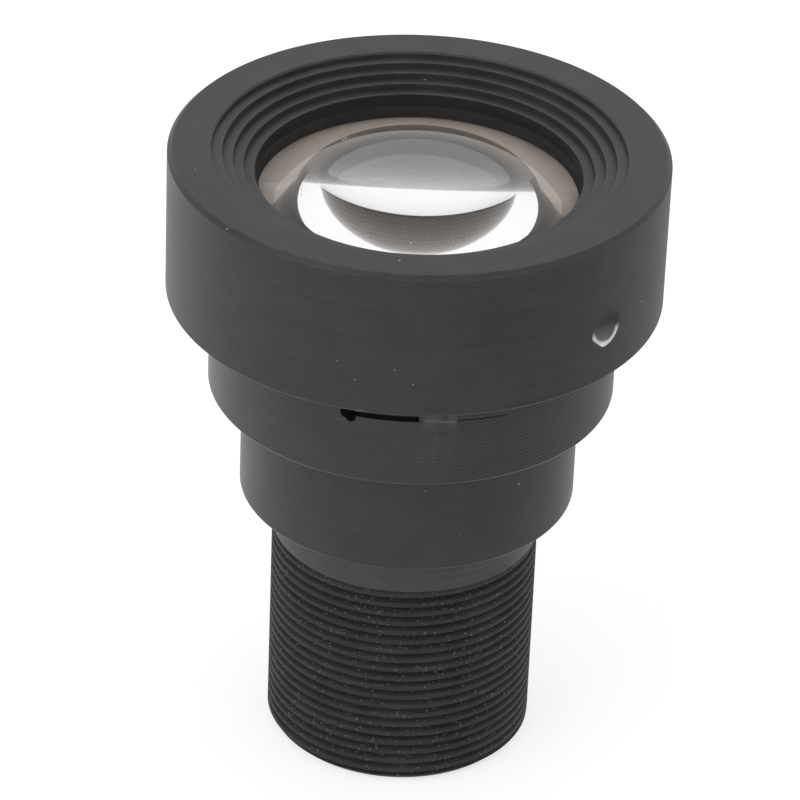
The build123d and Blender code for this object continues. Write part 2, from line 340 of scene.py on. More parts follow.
# %% Dust specks
group, source, result, place = group_of(
    "dust_specks", [("Cell", 0.9), ("Amount", 0.2), ("Speck", 0.06)], ["Mask"],
)
scale = maths(group, "DIVIDE", 1.0, source["Cell"])
cells = node(group, "TexVoronoi", Vector=place, Scale=scale)
pick = node(group, "SeparateColor", Color=cells["Color"])
wanted = maths(group, "LESS_THAN", pick[0], source["Amount"])
spread = maths(group, "MULTIPLY_ADD", pick[1], 0.9, 0.35)
size = times(group, source["Speck"], spread)
reach = times(group, cells["Distance"], source["Cell"])
near = falling(group, reach, times(group, size, 0.55), size)
fill(group, result, Mask=times(group, near, wanted))
dust_specks = group

# %% Edge wear, which also carries the painted glint on the head's lower edge
group, source, result, place = group_of("edge_wear_and_glint", [("Edge", 0.0), ("Broken", 0.5)], ["Mask"])
chips = node(group, "TexNoise", Vector=place, Scale=1.7, Detail=5.0, Roughness=0.7)
onset = maths(group, "SUBTRACT", source["Broken"], 0.18)
bare = ramped(group, chips[0], onset, source["Broken"])
fill(group, result, Mask=times(group, bare, source["Edge"]))
edge_wear_and_glint = group
print("groups:", [shared.name for shared in bpy.data.node_groups])

# %% [markdown]
# ## The finishes
# All the metal is aluminium, blasted or turned and then anodised black. Its colour is a deep, slightly
# blue grey; what the eye sees is mostly the white surroundings in the satin surface, which grow
# stronger at a flat angle. The collar and the head's stepped recess get lighter copies of that black,
# which are painted light. The glass is a Principled shader with full transmission. The brown band
# seen through the front glass is the spacer behind it: a pale land, and a funnel that goes from black
# at its opening to pale brown towards the rim.

# %% Helpers for materials
white = (1.0, 1.0, 1.0)


def empty_material(name):
    """Material with only a Principled shader and an output, and the object coordinate."""
    material = bpy.data.materials.new(name)
    material.use_nodes = True
    tree = material.node_tree
    tree.nodes.clear()
    shader = tree.nodes.new("ShaderNodeBsdfPrincipled")
    output = tree.nodes.new("ShaderNodeOutputMaterial")
    tree.links.new(shader.outputs[0], output.inputs["Surface"])
    coordinate = tree.nodes.new("ShaderNodeTexCoord").outputs["Object"]
    return material, tree, shader, coordinate


def use(tree, group, vector, **values):
    """Outputs of a shared effect that is placed in a material with its own values."""
    made = tree.nodes.new("ShaderNodeGroup")
    made.node_tree = group
    return fill(tree, made, Vector=vector, **values).outputs


def blended(tree, share, first, second):
    """Colour that goes from the first to the second as the share goes from 0 to 1."""
    made = tree.nodes.new("ShaderNodeMix")
    made.data_type = "RGBA"
    put(tree, made.inputs["Factor"], share)
    put(tree, made.inputs[6], first)
    put(tree, made.inputs[7], second)
    return made.outputs[2]


def bumped(tree, height, depth, **below):
    """Normal from a height of 0 to 1 that stands for that depth in millimetres."""
    return node(tree, "Bump", Height=height, Strength=1.0, Distance=depth * MM, **below)[0]


def scaled(colour, factor):
    """Colour made lighter or darker by a factor."""
    return tuple(channel * factor for channel in colour)


# %% Black anodised aluminium
# Bare, rubbed metal on worn edges; on the head's lower edge it also stands for a painted glint
rubbed_metal_and_glint = (0.16, 0.16, 0.17)


def anodised(
    name, colour, roughness, marks, feed, grain, dust=0.15, dust_colour=(0.36, 0.35, 0.33), cell=0.8,
    speck=0.055, gloss=0.4,
):
    """Black anodised aluminium. Marks and grain are depths in millimetres, dust is a share."""
    material, tree, shader, coordinate = empty_material(name)
    rings = use(tree, turning_marks, coordinate, Lines=4.5, Feed=feed)
    satin = use(tree, satin_grain, coordinate, Size=0.08, Patch=1.8)
    specks = use(tree, dust_specks, coordinate, Cell=cell, Amount=dust, Speck=speck)
    edge = tree.nodes.new("ShaderNodeAttribute")
    edge.attribute_name = "edge"
    # The edge mask is real wear, and on the head's lower edge also a painted glint
    rubbed = use(tree, edge_wear_and_glint, coordinate, Edge=edge.outputs["Fac"], Broken=0.55)
    shade = times(tree, satin["Patches"], rings["Streak"])
    base = blended(tree, ramped(tree, shade, 0.1, 0.45), colour, scaled(colour, 1.7))
    base = blended(tree, rubbed["Mask"], base, rubbed_metal_and_glint)
    base = blended(tree, specks["Mask"], base, dust_colour)
    rough = maths(tree, "MULTIPLY_ADD", rings["Streak"], 0.12, roughness - 0.06)
    rough = maths(tree, "MULTIPLY_ADD", specks["Mask"], 0.4, rough)
    ringed = bumped(tree, rings["Height"], marks)
    normal = bumped(tree, satin["Height"], grain, Normal=ringed)
    fill(tree, shader, Base_Color=base, Specular_IOR_Level=gloss, Roughness=rough, Normal=normal)
    return material


soft_black = (0.019, 0.0192, 0.0205)
anodised_head = anodised("anodised_head", soft_black, 0.44, marks=0.003, feed=0.26, grain=0.006, gloss=0.42)
anodised_barrel = anodised(
    "anodised_barrel", soft_black, 0.4, marks=0.004, feed=0.19, grain=0.006, gloss=0.42,
)
anodised_ring = anodised("anodised_ring", soft_black, 0.38, marks=0.019, feed=0.19, grain=0.004, gloss=0.45)
# The collar's black is lighter than the barrel's, a painted sheen for the highlight that lies on it
anodised_collar_painted_sheen = anodised(
    "anodised_collar_painted_sheen", (0.043, 0.0432, 0.046), 0.44, marks=0.006, feed=0.16, grain=0.002, dust=0.05,
)
anodised_thread = anodised(
    "anodised_thread", (0.033, 0.0325, 0.033), 0.58, marks=0.002, feed=0.25, grain=0.012,
    dust=0.5, dust_colour=(0.19, 0.18, 0.135), cell=0.15, speck=0.05, gloss=0.17,
)
# The stepped recess gets a lighter copy of the head's black: painted light that lifts it out of its shade
anodised_recess_painted_light = anodised(
    "anodised_recess_painted_light", (0.0275, 0.0275, 0.0285), 0.46, marks=0.003, feed=0.26, grain=0.006,
)
anodised_inside = anodised(
    "anodised_inside", (0.014, 0.0125, 0.0115), 0.5, marks=0.002, feed=0.25, grain=0.005, dust=0.02,
)
bronze_wall = anodised(
    "bronze_wall", (0.115, 0.088, 0.074), 0.4, marks=0.012, feed=0.15, grain=0.002, dust=0.0,
)

# %% Glass, and the dull coats on its edges and behind it


def clear_glass(name, index, reflex):
    """Polished optical glass of that refractive index, whose coating leaves that share of the gleam."""
    material, tree, shader, _ = empty_material(name)
    warm_reflex = (reflex, reflex * 0.94, reflex * 0.88)
    fill(tree, shader, Base_Color=white, Roughness=0.0, Metallic=0.0, Transmission_Weight=1.0)
    fill(tree, shader, IOR=index, Specular_Tint=warm_reflex)
    return material


def coated(name, colour, roughness, spread):
    """Dull coat whose colour varies softly, such as edge paint, ground glass or a pale land."""
    material, tree, shader, coordinate = empty_material(name)
    satin = use(tree, satin_grain, coordinate, Size=0.06, Patch=0.9)
    shade = ramped(tree, satin["Patches"], 0.3, 0.7)
    base = blended(tree, shade, scaled(colour, 1 - spread), colour)
    normal = bumped(tree, satin["Height"], 0.002)
    fill(tree, shader, Base_Color=base, Roughness=roughness, Normal=normal)
    return material


front_glass = clear_glass("front_glass", 1.549, 0.38)
dense_glass = clear_glass("dense_glass", 1.87, 0.85)
crown_glass = clear_glass("crown_glass", 1.62, 0.6)
flint_glass = clear_glass("flint_glass", 1.72, 0.6)
ground_rim = coated("ground_rim", (0.2, 0.17, 0.15), 0.7, 0.06)
pale_land = coated("pale_land", (0.72, 0.615, 0.54), 0.7, 0.05)
edge_paint = coated("edge_paint", (0.004, 0.004, 0.004), 0.6, 0.3)
pale_dust = coated("pale_dust", (0.8, 0.79, 0.76), 0.9, 0.1)

# %% The spacer's funnel, black at its opening and pale brown outwards


def funnel(name, inner_colour, outer_colour, inner_radius, outer_radius):
    """Turned funnel round the axis, whose colour goes from its inner radius to its outer one."""
    material, tree, shader, coordinate = empty_material(name)
    away = from_axis(tree, in_mm(tree, coordinate))
    rings = use(tree, turning_marks, coordinate, Lines=9.0, Feed=0.11)
    ragged = maths(tree, "MULTIPLY_ADD", rings["Height"], 0.3, away)
    share = ramped(tree, ragged, inner_radius, outer_radius)
    base = blended(tree, share, inner_colour, outer_colour)
    normal = bumped(tree, rings["Height"], 0.01)
    fill(tree, shader, Base_Color=base, Roughness=0.6, Specular_IOR_Level=0.05, Normal=normal)
    return material


bronze_funnel = funnel("bronze_funnel", (0.016, 0.0115, 0.009), (0.24, 0.2, 0.175), 4.1, 4.85)

# %% The stop's black foil and the screw's dark steel


def plain_metal(name, colour, roughness, metallic):
    """Metal or painted metal with a faint grain."""
    material, tree, shader, coordinate = empty_material(name)
    satin = use(tree, satin_grain, coordinate, Size=0.05, Patch=0.5)
    base = blended(tree, satin["Patches"], colour, scaled(colour, 1.5))
    rough = maths(tree, "MULTIPLY_ADD", satin["Height"], 0.2, roughness - 0.1)
    normal = bumped(tree, satin["Height"], 0.002)
    fill(tree, shader, Base_Color=base, Roughness=rough, Metallic=metallic, Normal=normal)
    return material


stop_black = plain_metal("stop_black", (0.008, 0.008, 0.008), 0.6, 0.0)
screw_dark = plain_metal("screw_dark", (0.22, 0.23, 0.22), 0.38, 1.0)

# %% [markdown]
# ## The painted highlight in the screw's hole
# The lock screw lies under a drop of clear sealant, whose hollow surface gathers light into a bright
# crescent low in the hole. So small a mirror would need a very fine mesh and an exact light, so the
# finish paints it as a highlight: where masks measured from the screw's line meet, it is a bright
# metal. The sealant is also painted paler downwards, a painted sheen of its hollow surface.

# %% The screw's place, and its crescent's borders in millimetres
screw_azimuth = 48.0
screw_height = head_top - 4.24
crescent_centre = (0.2, -0.17)
crescent_inner = (0.5, 0.66)
crescent_left = (-0.88, -0.74)
crescent_outer = (-1.04, -0.96)
crescent_top = (-0.45, -0.05)
# Where the sealant's painted sheen fades in below the hole's middle, and the painted highlight's colour
sheen_below = (-0.7, 0.25)
highlight_silver = (0.66, 0.66, 0.65)

# %% The finish of the hole, with its painted highlight and painted sheen


def crescent(name, sheen_colour, upper_colour, roughness):
    """Finish of the screw's hole: as the wall at its top, with a painted sheen paler downwards, and a
    painted highlight, a bright crescent, below.

    The crescent lies outside a soft circle or left of a slanting line, inside a second slanting line,
    and below the hole's middle.
    """
    material, tree, shader, coordinate = empty_material(name)
    turn = np.radians(screw_azimuth)
    place = in_mm(tree, coordinate)
    aside = vector_maths(tree, "DOT_PRODUCT", place, (np.cos(turn), np.sin(turn), 0.0))
    height = node(tree, "SeparateXYZ", Vector=place)["Z"]
    above = maths(tree, "SUBTRACT", height, screw_height)
    satin = use(tree, satin_grain, coordinate, Size=0.1, Patch=0.3)
    from_centre = node(
        tree, "CombineXYZ",
        X=maths(tree, "SUBTRACT", aside, crescent_centre[0]),
        Y=maths(tree, "SUBTRACT", above, crescent_centre[1]),
    )[0]
    ring = ramped(tree, vector_maths(tree, "LENGTH", from_centre), *crescent_inner)
    slant = maths(tree, "ADD", aside, above)
    left = falling(tree, slant, *crescent_left)
    inside = ramped(tree, slant, *crescent_outer)
    low = times(tree, inside, falling(tree, above, *crescent_top))
    bright = times(tree, maths(tree, "MAXIMUM", ring, left), low)
    ragged = maths(tree, "MULTIPLY_ADD", satin["Patches"], 0.2, above)
    paler = falling(tree, ragged, *sheen_below)
    shade = blended(tree, paler, upper_colour, sheen_colour)
    base = blended(tree, bright, shade, highlight_silver)
    normal = bumped(tree, satin["Height"], 0.004)
    fill(tree, shader, Base_Color=base, Metallic=bright, Roughness=roughness, Normal=normal)
    fill(tree, shader, Specular_IOR_Level=0.36)
    return material


# The sink gets only the painted crescent highlight; the sealant also gets the painted sheen, paler downwards
sink_painted_highlight = crescent("sink_painted_highlight", (0.026, 0.026, 0.027), (0.026, 0.026, 0.027), 0.44)
sealant_painted_light = crescent("sealant_painted_light", (0.17, 0.172, 0.16), (0.036, 0.036, 0.037), 0.6)
print("materials:", [material.name for material in bpy.data.materials])

# %% [markdown]
# ## The barrel, its stem thread and the run-out under the head
# On the real lens the stem is cut with a metric fine thread, M12 with a pitch of half a millimetre.
# A thread as an image would show a flat edge, and one built by sweeping a tooth needs a join with the
# body. Here the stem is one grid whose rows climb one pitch per turn, so each crest follows a row, and
# rows that would pass the ends are held at them. The run-out under the head comes in stretches with
# steep sides: a deep groove that starts in a few pits, a rubbed ledge and a hairline. A formula cuts
# each of them into the rows of the middle ring.

# %% Thread radius as a function of azimuth and height
thread_pitch = 0.5
thread_depth = 0.29
top_groove_height = 10.372
fade_length = 0.14
end_chamfer = 0.35
crest_share = 0.2
root_share = 0.1
straight_share, curved_share = 0.55, 0.45


def thread_radius(azimuth, height):
    """Stem radius under a right-hand thread.

    The phase is the height less one pitch per turn, counted from a groove's middle. The cut is deepest
    in the root, falls in a straight flank to the crest, and fades out below the collar.
    """
    phase = (height - top_groove_height) / thread_pitch - azimuth / 360
    off = np.abs(phase - np.round(phase)) * 2
    flank = np.clip((1 - crest_share * 2 - off) / (1 - crest_share * 2 - root_share), 0, 1)
    cut = thread_depth * (straight_share * flank + curved_share * flank * flank * (3 - 2 * flank))
    fade = np.clip((thread_length - height) / fade_length, 0, 1)
    threaded = stem_radius - cut * fade
    return np.minimum(threaded, stem_radius - end_chamfer + height)


def thread_grid(azimuths):
    """Rows that climb one pitch per turn, held at the stem's two ends."""
    marks = np.array([-0.5, -0.33, -0.28, -0.19, -0.09, 0.0, 0.09, 0.19, 0.28, 0.33])
    turns = np.arange(-2, int(thread_length / thread_pitch) + 2)
    rows = (turns[:, None] + marks[None, :]).ravel() * thread_pitch
    offset = top_groove_height % thread_pitch
    height = offset + rows[:, None] + thread_pitch * azimuths[None, :] / 360
    height = np.clip(height, 0, thread_length)
    return turned(thread_radius(azimuths[None, :], height), height, azimuths)


# %% The run-out on the middle ring
# A stretch has its ends in degrees, the drops of its lower edge there, its width and its depth
groove_line = head_base - 1.08
groove = ((-18.9, 2.6), (0.34, 0.35), 0.47, 0.34)
ledge = ((2.6, 13.6), (0.27, 0.4), 0.4, 0.03)
hairline = ((13.6, 27.5), (0.35, 0.44), 0.06, 0.05)
# A pit has its azimuth in degrees, its drop below the line and its radius
pits = ((-16.2, 0.44, 0.22), (-17.6, 0.26, 0.24), (-15.2, 0.12, 0.2))
pit_depth = 0.7
groove_side, pit_side = 0.02, 0.05
rub_line, rubbed_below, rub_fade = 0.06, 0.75, 1.5
line_rub, face_rub, wall_rub = 2.0, 0.35, 0.25


def lower_edge(azimuth, ends, drops):
    """Height of a stretch's lower edge, which goes from one drop below the groove's line to another."""
    return groove_line - np.interp(azimuth, ends, drops)


def stretch_cut(azimuth, height, ends, drops, width, depth):
    """Depth of a stretch of the run-out between two azimuths, with steep sides."""
    inside = (azimuth > ends[0]) & (azimuth < ends[1])
    above = height - lower_edge(azimuth, ends, drops)
    return inside * depth * np.clip(np.minimum(above, width - above) / groove_side, 0, 1)


def groove_cut(azimuth, height):
    """Depth of the run-out: a deep stretch, a shallow ledge, then a hairline, and pits at its start."""
    cuts = [stretch_cut(azimuth, height, *stretch) for stretch in (groove, ledge, hairline)]
    for pit_azimuth, drop, size in pits:
        sideways = np.radians(azimuth - pit_azimuth) * middle_radius
        away = np.hypot(sideways, height - groove_line + drop)
        cuts.append(np.clip((size - away) / pit_side, 0, 1) * pit_depth)
    return np.maximum.reduce(cuts)


def ledge_wear(azimuth, height):
    """How far the ledge is rubbed: most on its lower edge, less on its face and on the wall below it."""
    ends, drops = ledge[:2]
    above = height - lower_edge(azimuth, ends, drops)
    inside = np.clip(np.minimum(azimuth - ends[0], ends[1] - azimuth) / rub_fade, 0, 1)
    line = line_rub * np.clip(1 - np.abs(above) / rub_line, 0, 1)
    wall = wall_rub * np.clip(1 + above / rubbed_below, 0, 1)
    return inside * np.maximum(np.where(above > 0, face_rub, wall), line)


# %% The barrel's grid lines and profiles
end_step = 0.04
rows_below, rows_above, row_count = 0.85, 0.2, 54
stretch_ends = (*groove[0], ledge[0][1], hairline[0][1])
groove_columns = [end + step for end in stretch_ends for step in (-end_step, end_step)]
pit_columns = np.linspace(groove[0][0] - 0.5, pits[0][0] + 1.5, 21)
barrel_azimuths = full_turn(240, [*groove_columns, *pit_columns])
groove_rows = np.linspace(groove_line - rows_below, groove_line + rows_above, row_count)
ring_fillet, top_fillet, fine_fillet = 0.12, 0.1, 0.05

lower_skin, lower_wear = softened([
    (stem_radius, thread_length, 0), (stem_radius, rear_ring_base, 0),
    (rear_ring_radius, rear_ring_base, ring_fillet), (rear_ring_radius, middle_ring_base, 0),
    (middle_radius, middle_ring_base, ring_fillet), (middle_radius, groove_rows[0], 0),
])
bores = (
    (second_radius, spacer_low, crown_rim), (doublet_radius, crown_rim, stop_low),
    (tube_radius, stop_low, web_top),
)
upper_skin, upper_wear = softened([
    (middle_radius, groove_rows[-1], 0), (middle_radius, barrel_top, top_fillet),
    (front_radius + slip, barrel_top, fine_fillet), (front_radius + slip, spacer_low, 0),
    *[(radius + slip, height, 0) for radius, *ends in bores for height in ends],
    (web_radius, web_top, fine_fillet), (web_radius, web_low, fine_fillet),
    (rear_bore_radius, web_low, 0), (rear_bore_radius, 0, ring_fillet),
    (stem_radius - end_chamfer, 0, 0),
])

# %% The barrel's mesh
groove_wall = middle_radius - groove_cut(barrel_azimuths[None, :], groove_rows[:, None])
groove_wear = ledge_wear(barrel_azimuths[None, :], groove_rows[:, None])
edge_rub = 0.12
barrel_skin = surface(
    "barrel_skin",
    [
        thread_grid(barrel_azimuths),
        lathe(lower_skin, barrel_azimuths),
        turned(groove_wall, groove_rows[:, None], barrel_azimuths),
        lathe(upper_skin, barrel_azimuths),
    ],
    wear=[0.0, edge_rub * lower_wear[:, None], groove_wear, edge_rub * upper_wear[:, None]],
)

# %% The barrel's finishes, chosen by the place of each face


def faces_of(piece):
    """Centre of each face in millimetres, its normal and its distance from the axis."""
    faces = piece.data.polygons
    centres, normals = np.zeros(len(faces) * 3), np.zeros(len(faces) * 3)
    faces.foreach_get("center", centres)
    faces.foreach_get("normal", normals)
    centres = centres.reshape(-1, 3) / MM
    return centres, normals.reshape(-1, 3), np.hypot(centres[:, 0], centres[:, 1])


def paint(piece, finishes, kind):
    """Give a piece its finishes, and each of its faces the number of its own."""
    for finish in finishes:
        piece.data.materials.append(finish)
    piece.data.polygons.foreach_set("material_index", kind.astype(np.int32))


face_margin, wall_margin = 0.02, 0.05
centres, _, away = faces_of(barrel_skin)
zone_tops = [thread_length, rear_ring_base - 1e-4, middle_ring_base - 1e-4, barrel_top - face_margin]
zone = np.searchsorted(zone_tops, centres[:, 2])
in_stem = centres[:, 2] < rear_ring_base + 0.001
bore_limit = np.where(in_stem, rear_radius + wall_margin, rear_ring_radius - wall_margin)
zone = np.where(away < bore_limit, 4, zone)
# Zone 1, the collar, takes the lighter black that is a painted sheen
paint(barrel_skin, (anodised_thread, anodised_collar_painted_sheen, anodised_barrel, anodised_ring, anodised_inside), zone)
print("faces of thread, collar, rear ring, middle ring, inside:", np.bincount(zone))
seat(barrel_skin, "black_anodised", "barrel")

# %% [markdown]
# ## The head, its stepped recess and the hole for the lock screw
# The head is a cap. Four small steps lead down to the lip that holds the glass, and they break up stray
# light. Its wall is pierced by one radial hole. Cutting it with a boolean would leave slivers in a
# smooth wall, so a square window is left out of the wall's grid, and a patch whose rows go from the
# window's border to the hole's circle fills it. The inner and outer walls get such a patch, and the
# outer one's circle is the sink, a little wider than the hole and slightly aside of the screw's line.

# %% Head sizes in millimetres
step_count = 4
step_width = 0.4725
step_depth = 0.275
face_inner_radius = 9.1
face_chamfer = 0.08
lip_bore_depth = 0.63
glass_visible_radius = front_radius - 0.3
lip_base = barrel_top + 0.24
top_chamfer = 0.2
base_chamfer = 0.1
screw_hole_radius = 0.762
sink_radius = 0.88
sink_centre = (0.1, -0.03)
sealant_rim = middle_radius + slip + 1.8
window_half = 1.45
face_fillet, rim_fillet, base_fillet = 0.03, 0.08, 0.05

# %% A wall with a round hole in it


def window_rings(radius, azimuths, heights, hole_radius, centre, rings=9):
    """Patch between a window of a round wall and the hole in it, whose centre may lie beside the screw's.

    The window's border is walked once round. Each of its points is drawn towards the point of the
    hole's circle at the same bearing, and every ring between them is laid back on the wall.
    """
    low, high = heights[0], heights[-1]
    left, right = azimuths[0], azimuths[-1]
    walk_azimuth = np.concatenate([
        azimuths, np.full(len(heights) - 2, right), azimuths[::-1], np.full(len(heights) - 1, left),
    ])
    walk_height = np.concatenate([
        np.full(len(azimuths), low), heights[1:-1], np.full(len(azimuths), high), heights[-2::-1],
    ])
    across = (walk_azimuth - screw_azimuth) / (right - screw_azimuth)
    upward = (walk_height - screw_height) / (high - screw_height)
    bearing = np.arctan2(upward, across)
    side = radius * np.sin(np.radians(walk_azimuth - screw_azimuth))
    share = np.linspace(0, 1, rings)[:, None]
    side = side * (1 - share) + (centre[0] + hole_radius * np.cos(bearing)) * share
    height = walk_height * (1 - share) + (screw_height + centre[1] + hole_radius * np.sin(bearing)) * share
    return radial_points(side, height, np.sqrt(radius**2 - side**2)), bearing


def radial_points(side, height, out):
    """Points given by their distance aside of the screw's line, their height and their way out."""
    angle = np.radians(screw_azimuth)
    side, height, out = np.broadcast_arrays(side, height, out)
    x = out * np.sin(angle) + side * np.cos(angle)
    y = -out * np.cos(angle) + side * np.sin(angle)
    return np.stack([x, y, height], axis=-1)


def beside(values, window):
    """The values on either side of a window, its two ends included."""
    return values[values <= window[0] + 1e-9], values[values >= window[-1] - 1e-9]


def pierced_wall(radius, heights, azimuths, window, hole_radius, centre=(0.0, 0.0)):
    """Grids of a round wall that leave a window round the hole, and the patch that fills it."""
    grids = [turned(radius, part[:, None], azimuths) for part in beside(heights, window[1])]
    grids += [turned(radius, window[1][:, None], part) for part in beside(azimuths, window[0])]
    patch, bearing = window_rings(radius, *window, hole_radius, centre)
    return grids + [patch], bearing


# %% The head's grid lines
window_lines, least_gap, wall_inset = 15, 0.3, 0.05
half_angle = np.degrees(window_half / head_radius)
window_azimuths = np.linspace(screw_azimuth - half_angle, screw_azimuth + half_angle, window_lines)
window_heights = np.linspace(screw_height - window_half, screw_height + window_half, window_lines)
even = full_turn(320)
outside_window = (even < window_azimuths[0] - least_gap) | (even > window_azimuths[-1] + least_gap)
head_azimuths = np.unique([*even[outside_window], *window_azimuths])
wall_low, wall_high = head_base + base_chamfer + wall_inset, head_top - top_chamfer - wall_inset
outer_heights = np.unique([wall_low, *window_heights, wall_high])
bore_radius = middle_radius + slip
bore_heights = np.unique([head_base + base_chamfer, *window_heights, lip_base])

# %% The head's profiles
step_radius = face_inner_radius - face_chamfer
recess = [(face_inner_radius, head_top, face_fillet), (step_radius, head_top - face_chamfer, 0.02)]
for step in range(step_count):
    step_height = head_top - (step + 1) * step_depth
    recess.append((step_radius, step_height, 0))
    step_radius -= step_width
    recess.append((step_radius, step_height, face_fillet))
top_skin, top_wear = softened([
    (head_radius, wall_high, 0), (head_radius, head_top - top_chamfer, rim_fillet),
    (head_radius - top_chamfer, head_top, rim_fillet), *recess,
    (step_radius, step_height - lip_bore_depth, face_fillet), (glass_visible_radius, lip_base, 0),
    (bore_radius, lip_base, 0),
])
base_skin, base_wear = softened([
    (bore_radius, head_base + base_chamfer, 0), (bore_radius + base_chamfer, head_base, 0.04),
    (head_radius - base_chamfer, head_base, base_fillet),
    (head_radius, head_base + base_chamfer, base_fillet), (head_radius, wall_low, 0),
])

# %% The head's mesh
window = (window_azimuths, window_heights)
outer_wall, bearing = pierced_wall(
    head_radius, outer_heights, head_azimuths, window, sink_radius, sink_centre,
)
bore_wall, _ = pierced_wall(bore_radius, bore_heights, head_azimuths, window, screw_hole_radius)
sink_side = sink_centre[0] + sink_radius * np.cos(bearing)
sink_height = screw_height + sink_centre[1] + sink_radius * np.sin(bearing)
hole_side = screw_hole_radius * np.cos(bearing)
hole_height = screw_height + screw_hole_radius * np.sin(bearing)
hole_wall = np.stack([
    radial_points(sink_side, sink_height, np.sqrt(head_radius**2 - sink_side**2)),
    radial_points(hole_side, hole_height, sealant_rim),
    radial_points(hole_side, hole_height, np.sqrt(bore_radius**2 - hole_side**2)),
])
head_grids = [
    *outer_wall, *bore_wall, hole_wall, lathe(top_skin, head_azimuths), lathe(base_skin, head_azimuths),
]
# The head's lower edge has no wear where it faces the front and more towards the sides, so it is light
# there: worn metal and a painted glint
glint_starts, glint_grows = 12, 14
# One short stretch of the head's lower edge is made lighter still
lighter_azimuth, lighter_half, lighter_gain = -11.2, 0.9, 6.0
worn_and_glinting_sides = edge_rub * np.clip((np.abs(head_azimuths) - glint_starts) / glint_grows, 0, 1)
lighter_stretch = np.where(np.abs(head_azimuths - lighter_azimuth) < lighter_half, lighter_gain, 0.0)
head_wear_and_glint = [0.0] * (len(head_grids) - 2)
head_wear_and_glint += [edge_rub * top_wear[:, None], base_wear[:, None] * (worn_and_glinting_sides + lighter_stretch)]
head_skin = surface("head_skin", head_grids, wear=head_wear_and_glint)

# %% The head's finishes
sink_margin, skin_margin, step_margin = 0.2, 0.004, 0.04
centres, _, away = faces_of(head_skin)
screw_line = radial_points(0.0, screw_height, 1.0) - radial_points(0.0, screw_height, 0.0)
outward = centres @ screw_line
aside = np.linalg.norm(centres - radial_points(0.0, screw_height, outward), axis=1)
in_sink = (aside < sink_radius + sink_margin) & (away < head_radius - skin_margin)
sunk = in_sink & (outward > sealant_rim)
# The stepped recess takes the lighter copy of the black, which is painted light
recessed = (away < face_inner_radius) & (centres[:, 2] > step_height - step_margin)
in_lip_bore = (away < step_radius + face_margin) & ~recessed
head_kind = np.select([recessed, in_lip_bore], [2, 3], sunk)
paint(head_skin, (anodised_head, sink_painted_highlight, anodised_recess_painted_light, anodised_inside), head_kind)
print("faces of the head, sink, recess and lip bore:", np.bincount(head_kind))
seat(head_skin, "black_anodised", "head_ring")

# %% [markdown]
# ## The glass
# Each element is a closed body with two polished surfaces, which are parts of spheres. What the eye
# sees in the front glass is made by the shapes alone: past a steep angle its rear surface mirrors the
# white surroundings, and above that line the dark inside of the barrel shows. So the curves have to be
# right and the meshes dense, and the real glass is copied instead of painted.

# %% Elements from two spheres
contact_gap = 0.005
level_normal = 0.1


def sphere_drop(curve, distance):
    """How far a sphere of the signed radius falls below its vertex at a distance from the axis."""
    size = abs(curve)
    return np.sign(curve) * (size - np.sqrt(size * size - distance * distance))


def element(
    name, replaced, glass, outer, heights, curves, clears, rows=40, columns=128, rim=edge_paint, land=None,
    rise=0.0,
):
    """Closed glass element. Vertex heights, signed curves and clear radii are pairs: top, then bottom.

    The land round the bottom climbs by the rise on its way out. The element keeps a hair's breadth from
    the metal it touches, so that no two faces share a plane.
    """
    out = np.linspace(0, 1, rows)
    outer = outer - contact_gap
    heights = (heights[0] - contact_gap, heights[1] + contact_gap)
    clears = [min(clear, outer) for clear in clears]
    upper, lower = [
        np.stack([clear * out, height - sphere_drop(curve, clear * out)], axis=1)
        for height, curve, clear in zip(heights, curves, clears)
    ]
    corners = [(outer, upper[-1][1])] * (outer > clears[0] + 1e-6)
    corners += [(outer, lower[-1][1] + rise)] * (outer > clears[1] + 1e-6)
    profile = np.vstack([upper, np.array(corners).reshape(-1, 2), lower[::-1]])
    piece = surface(name, [lathe(profile, full_turn(columns))], sharp=12.0)
    _, normals, away = faces_of(piece)
    faces_up = normals[:, 2] > 0
    beyond_clear = away > np.where(faces_up, *clears)
    level = np.abs(normals[:, 2]) > level_normal
    kind = np.where(level, np.where(beyond_clear, np.where(faces_up, 1, 3), 0), 2)
    paint(piece, (glass, rim, edge_paint, land or rim), kind)
    seat(piece, "optical_glass", replaced)


# %% Curves of the polished surfaces, in millimetres
front_curves = (13.66, -35.6)
front_clear = (glass_visible_radius, 4.85)
second_curves = (42.0, -48.0)
second_clear = (4.95, 4.8)
crown_curves = (9.5, -18.0)
crown_clear = 4.4
flint_curve = 7.0
flint_clear = 3.9
flint_middle = 1.1
cement_gap = 0.01

# %% The front group
land_rise = 0.34
element(
    "front_glass_element", "front_element", front_glass, front_radius, (front_top, front_bottom),
    front_curves, front_clear, rows=90, columns=256, land=front_glass, rise=land_rise,
)
spacer_shoulder = front_clear[1] + slip
spacer_brim = 4.6
spacer_brim_drop = 0.12
spacer_opening = 4.1
spacer_seat = spacer_high - land_rise
spacer_foot = second_top - sphere_drop(second_curves[0], spacer_opening)
spacer_profile = np.array([
    (spacer_opening, spacer_foot), (second_clear[0], spacer_low), (front_radius, spacer_low),
    (front_radius, spacer_high), (spacer_shoulder, spacer_seat),
    (spacer_brim, spacer_seat - spacer_brim_drop), (spacer_opening, spacer_foot),
])
spacer_ring = surface("front_spacer_ring", [lathe(spacer_profile, full_turn(256))])
_, normals, away = faces_of(spacer_ring)
spacer_kind = np.where(normals[:, 2] > level_normal, np.where(away < spacer_shoulder, 2, 1), 0)
paint(spacer_ring, (bronze_wall, pale_land, bronze_funnel), spacer_kind)
seat(spacer_ring, "black_anodised", "front_spacer")
element(
    "second_glass_element", "second_element", dense_glass, second_radius, (second_top, second_bottom),
    second_curves, second_clear, rows=70, columns=192, rim=ground_rim,
)
